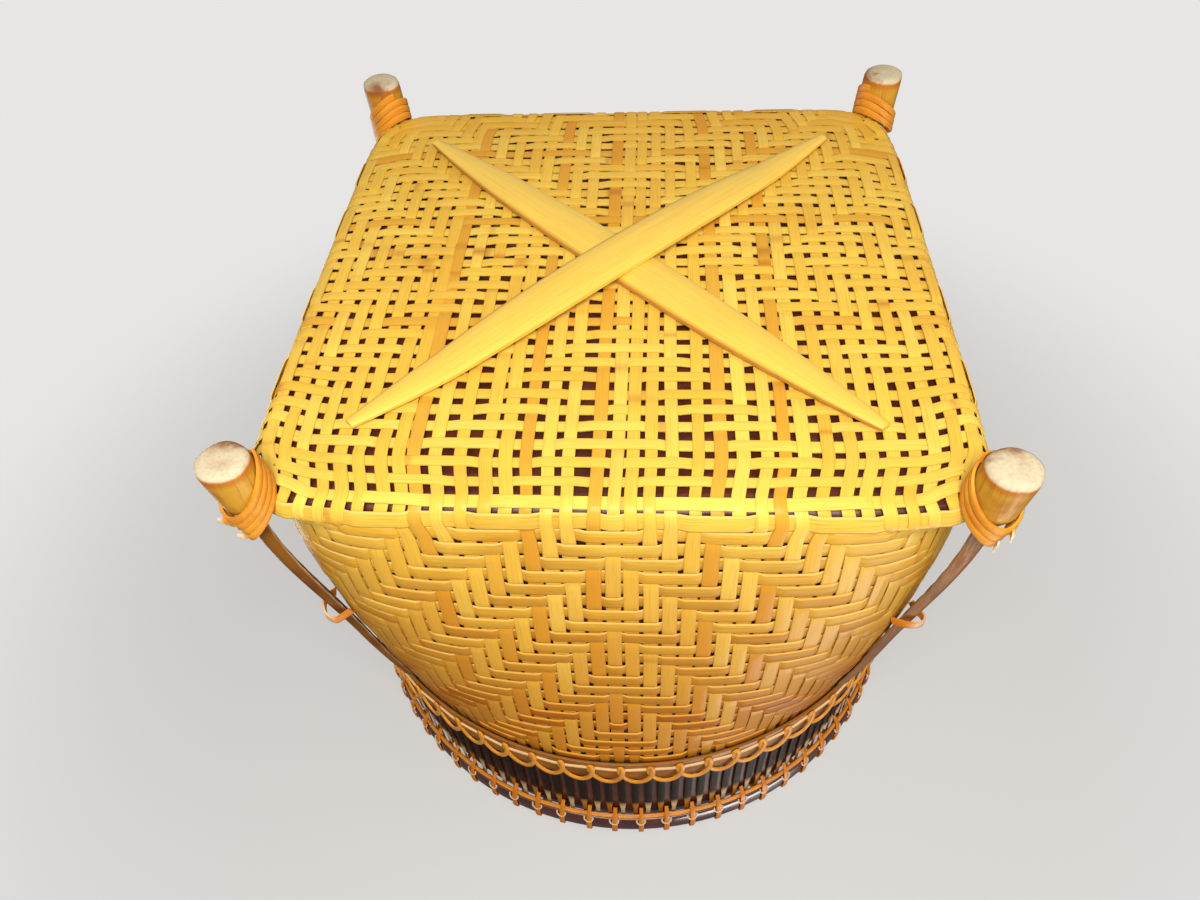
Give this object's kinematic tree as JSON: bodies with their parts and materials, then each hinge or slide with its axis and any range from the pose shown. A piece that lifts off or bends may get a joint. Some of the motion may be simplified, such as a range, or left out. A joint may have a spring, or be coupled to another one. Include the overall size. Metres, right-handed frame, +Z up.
{
  "type": "charcoal basket",
  "caption": "Split bamboo basket with a square plaited base on legs, turning into a round openwork mouth with a lashed rim and a lacquered lining.",
  "frame": {"origin": "on the floor under the middle of the base, where the four feet stand", "axes": "+Z up from the feet to the mouth; X and Y are square to the sides of the base, and the side in the picture faces -Y"},
  "size_m": [0.25, 0.2502, 0.2231],
  "materials": {
    "bamboo_straw": "smooth split bamboo skin, straw yellow, satin",
    "bamboo_amber": "aged bamboo, amber to brown, satin",
    "rattan_orange": "split rattan, orange, satin",
    "lacquer_dark": "dark red-brown lacquered bamboo, glossy",
    "lacquer_lining": "maroon lacquered paper lining, semi-gloss"
  },
  "bodies": {
    "root": {"woven_body": "bamboo_straw", "lacquered_lining": "lacquer_lining", "neck_stakes": "bamboo_amber", "neck_hoop": "rattan_orange", "neck_lacing": "rattan_orange", "rim_hoop_outer": "lacquer_dark", "rim_hoop_inner": "lacquer_dark", "rim_cord": "rattan_orange", "rim_binding": "rattan_orange", "leg_front_left": "bamboo_amber", "leg_front_right": "bamboo_amber", "leg_back_left": "bamboo_amber", "leg_back_right": "bamboo_amber", "foot_lashing_front_left": "rattan_orange", "foot_lashing_front_right": "rattan_orange", "foot_lashing_back_left": "rattan_orange", "foot_lashing_back_right": "rattan_orange", "post_tie_front_left": "rattan_orange", "post_tie_front_right": "rattan_orange", "post_tie_back_left": "rattan_orange", "post_tie_back_right": "rattan_orange", "batten_inner": "bamboo_straw", "batten_outer": "bamboo_straw"}
  },
  "joints": []
}
